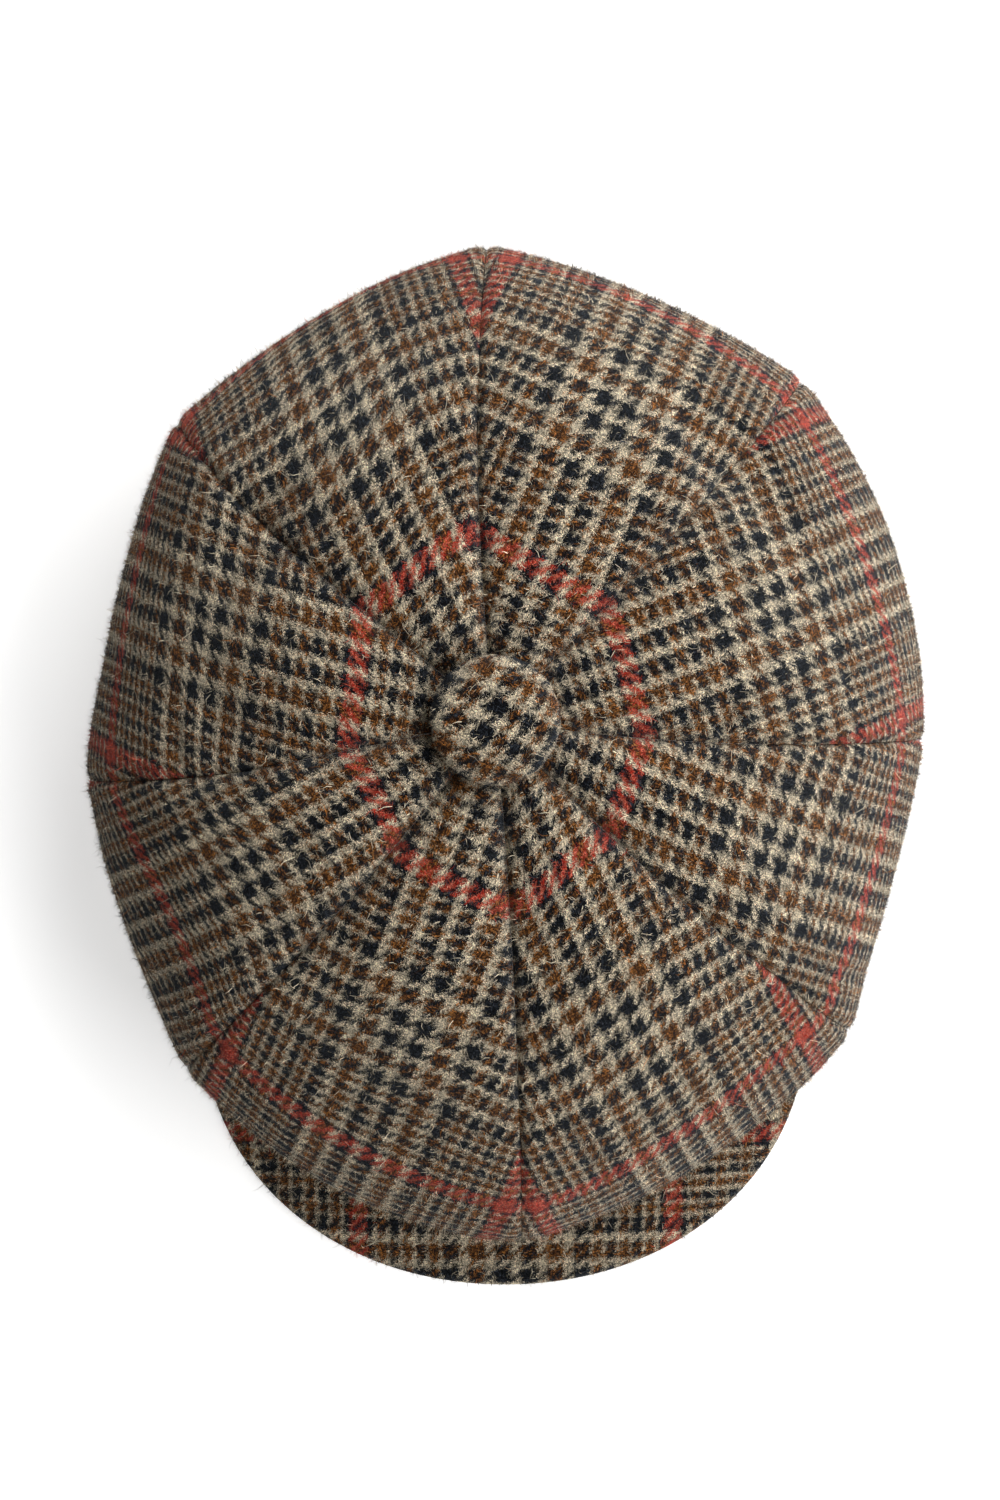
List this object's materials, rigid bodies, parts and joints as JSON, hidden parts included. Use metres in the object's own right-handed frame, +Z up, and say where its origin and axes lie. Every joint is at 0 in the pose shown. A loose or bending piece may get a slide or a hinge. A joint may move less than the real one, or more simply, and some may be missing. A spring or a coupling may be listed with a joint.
{
  "type": "baker boy cap",
  "caption": "Baker boy cap in checked wool tweed, with a full panelled crown, a covered button, a head band and a short stiff peak, resting on its rim.",
  "frame": {"origin": "on the surface the cap rests on, under the middle of its bounding box", "axes": "+Y from the peak at the front to the back of the crown, +X to the wearer's right, +Z up from the surface"},
  "size_m": [0.2582, 0.3212, 0.1209],
  "materials": {
    "crown_tweed": "milled wool tweed, checked",
    "band_tweed": "milled wool tweed, checked",
    "peak_tweed": "milled wool tweed over a stiff peak",
    "button_tweed": "milled wool tweed over padding"
  },
  "bodies": {
    "root": {"crown_panel_right_back": "crown_tweed", "crown_panel_back_right": "crown_tweed", "crown_panel_back_left": "crown_tweed", "crown_panel_left_back": "crown_tweed", "crown_panel_left_front": "crown_tweed", "crown_panel_front_left": "crown_tweed", "crown_panel_front_right": "crown_tweed", "crown_panel_right_front": "crown_tweed", "head_band": "band_tweed", "peak": "peak_tweed", "crown_button": "button_tweed"}
  },
  "joints": []
}
